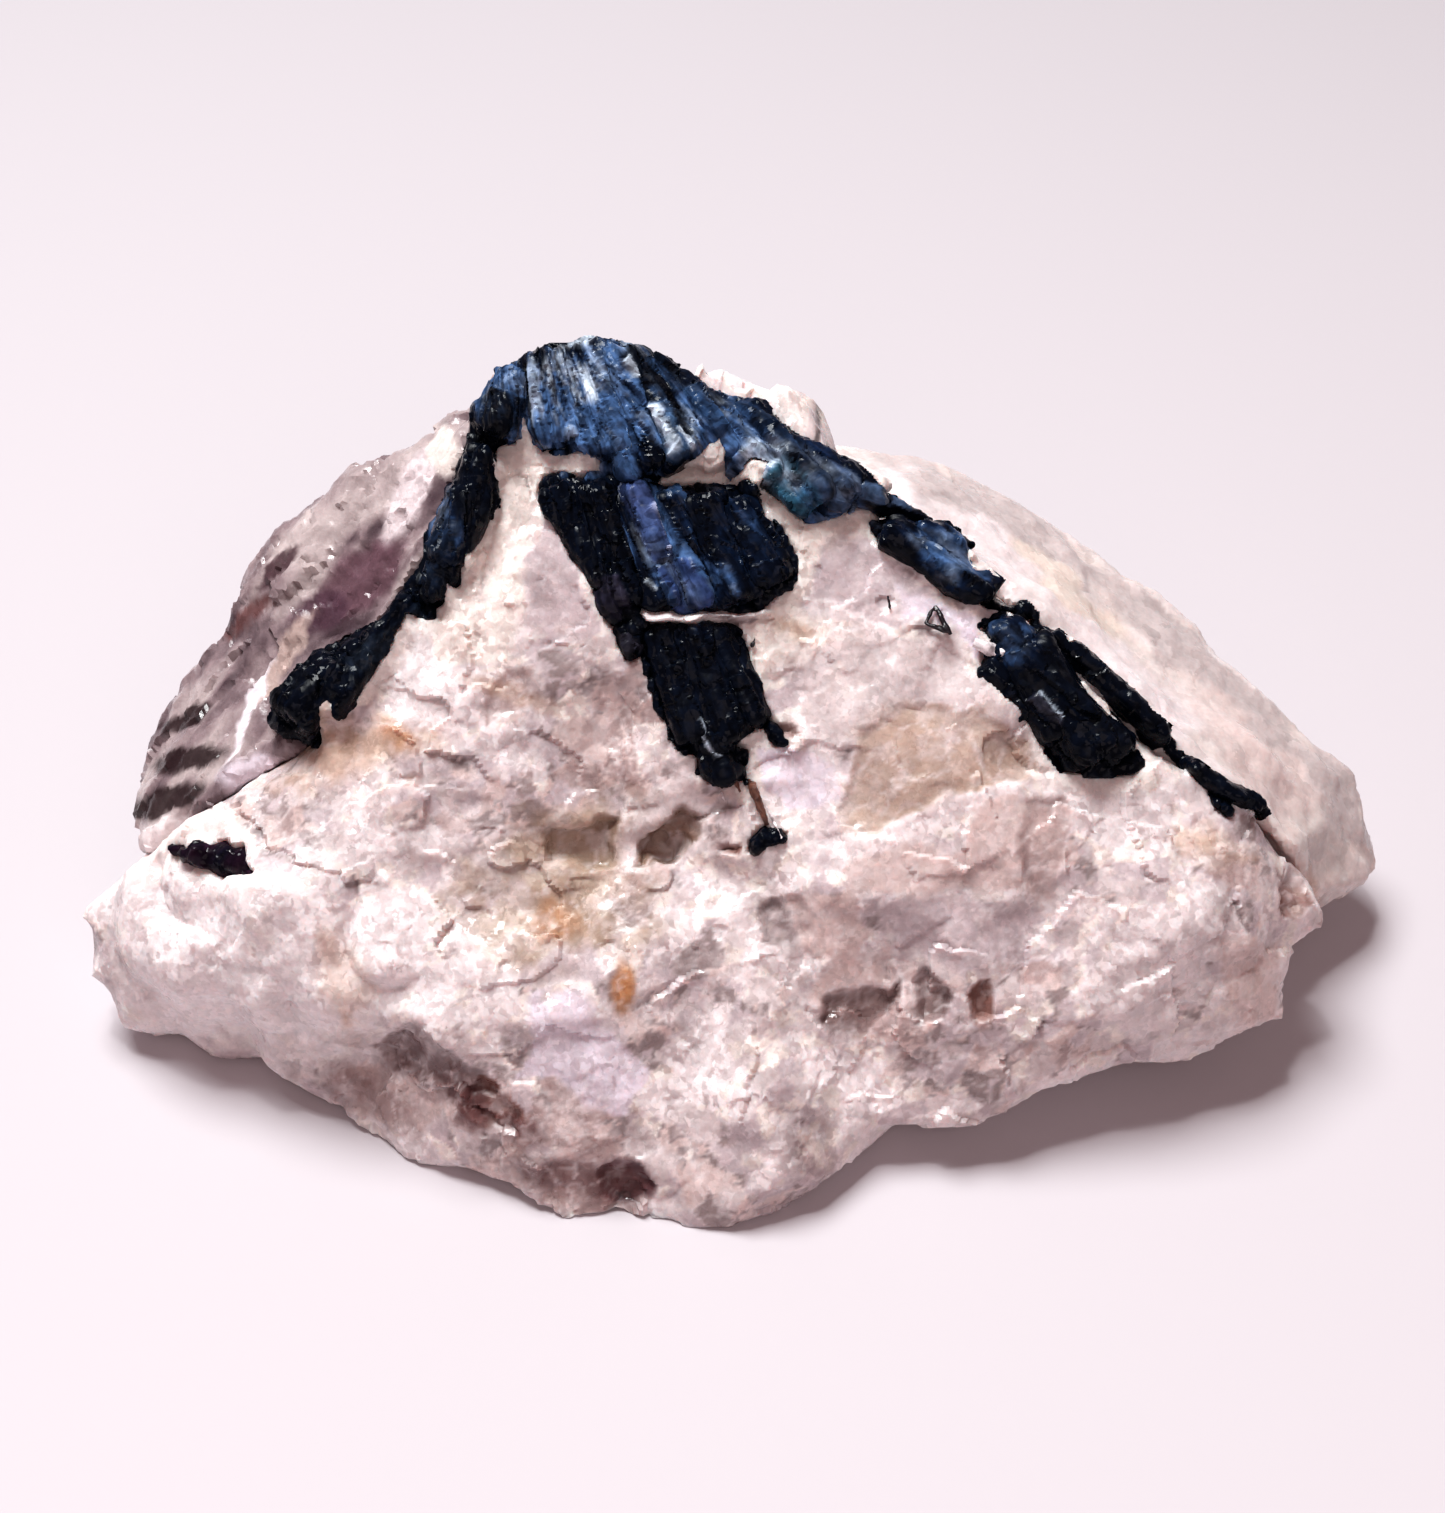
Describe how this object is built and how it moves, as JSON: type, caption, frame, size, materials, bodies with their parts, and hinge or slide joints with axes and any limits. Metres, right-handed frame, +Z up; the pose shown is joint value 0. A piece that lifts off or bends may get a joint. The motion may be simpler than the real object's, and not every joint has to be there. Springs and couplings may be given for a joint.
{
  "type": "tourmaline in quartz mineral specimen",
  "caption": "Broken hand specimen: a wedge of granular white quartz and albite with a spray of blue-black striated tourmaline on its sloping face, milky quartz behind and a smoky quartz flank.",
  "frame": {"origin": "middle of the bounding box, on the surface that the specimen stands on", "axes": "+X along the ridge to the viewer's right, +Y from the sloping broken face to the back, +Z up"},
  "size_m": [0.056, 0.0332, 0.0241],
  "materials": {
    "white_rock": "broken, sugary grains",
    "milky_quartz": "smooth, waxy, translucent",
    "smoky_quartz": "glassy, streaked",
    "blue_tourmaline": "glassy, striated lengthwise",
    "black_tourmaline": "glassy, striated lengthwise"
  },
  "bodies": {
    "root": {"quartz_matrix": "white_rock", "milky_quartz": "milky_quartz", "smoky_quartz": "smoky_quartz", "tourmaline_crown": "blue_tourmaline", "tourmaline_left_arm": "black_tourmaline", "tourmaline_left_foot": "black_tourmaline", "tourmaline_centre_fan": "blue_tourmaline", "tourmaline_centre_prism": "black_tourmaline", "tourmaline_side_prism": "black_tourmaline", "tourmaline_right_upper": "blue_tourmaline", "tourmaline_right_lower": "black_tourmaline", "tourmaline_right_rim": "black_tourmaline", "tourmaline_right_tip": "black_tourmaline", "tourmaline_left_corner": "black_tourmaline", "tourmaline_needle": "black_tourmaline"}
  },
  "joints": []
}
